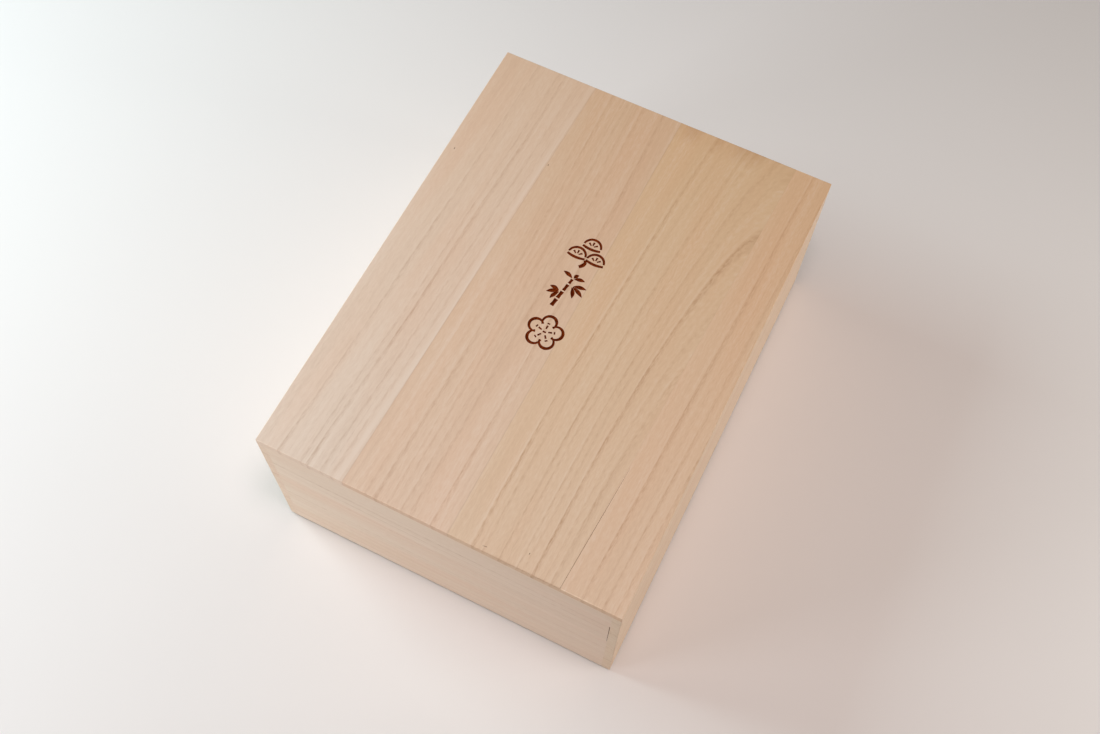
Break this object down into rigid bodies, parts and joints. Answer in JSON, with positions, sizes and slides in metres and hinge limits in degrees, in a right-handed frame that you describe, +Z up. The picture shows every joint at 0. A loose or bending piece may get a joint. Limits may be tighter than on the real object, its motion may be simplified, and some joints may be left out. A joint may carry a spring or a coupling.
{
  "type": "document storage box",
  "caption": "Plain paulownia-wood document box: an open pegged body under a full-depth cover lid with a slant-seamed glued top and small engraved ornaments; the lid lifts straight off.",
  "frame": {"origin": "on the ground, under the middle of the box", "axes": "+X to the right across the width, +Y to the back along the length, +Z up; the front is the short side at -Y, towards which the ornaments on the lid stand upright"},
  "size_m": [0.246, 0.3332, 0.1325],
  "materials": {
    "paulownia": "matte",
    "paulownia_pale": "matte",
    "paulownia_warm": "matte",
    "paulownia_grey": "matte",
    "peg_wood": "matte"
  },
  "bodies": {
    "box_body": {"body_left_board": "paulownia", "body_right_board": "paulownia", "body_front_board": "paulownia", "body_back_board": "paulownia", "floor_strip_1": "paulownia", "floor_strip_2": "paulownia", "floor_strip_3": "paulownia", "body_corner_pegs": "peg_wood", "floor_pegs": "peg_wood"},
    "cover_lid": {"lid_top_strip_1": "paulownia_pale", "lid_top_strip_2": "paulownia", "lid_top_strip_3": "paulownia_warm", "lid_top_strip_4": "paulownia_warm", "lid_left_board": "paulownia", "lid_right_board": "paulownia", "lid_front_board": "paulownia_grey", "lid_back_board": "paulownia_grey", "lid_corner_pegs": "peg_wood"}
  },
  "joints": [
    {"name": "lid_lift", "type": "slide", "parent": "box_body", "child": "cover_lid", "axis": [0, 0, 1], "range_m": [0, 0.15]}
  ]
}
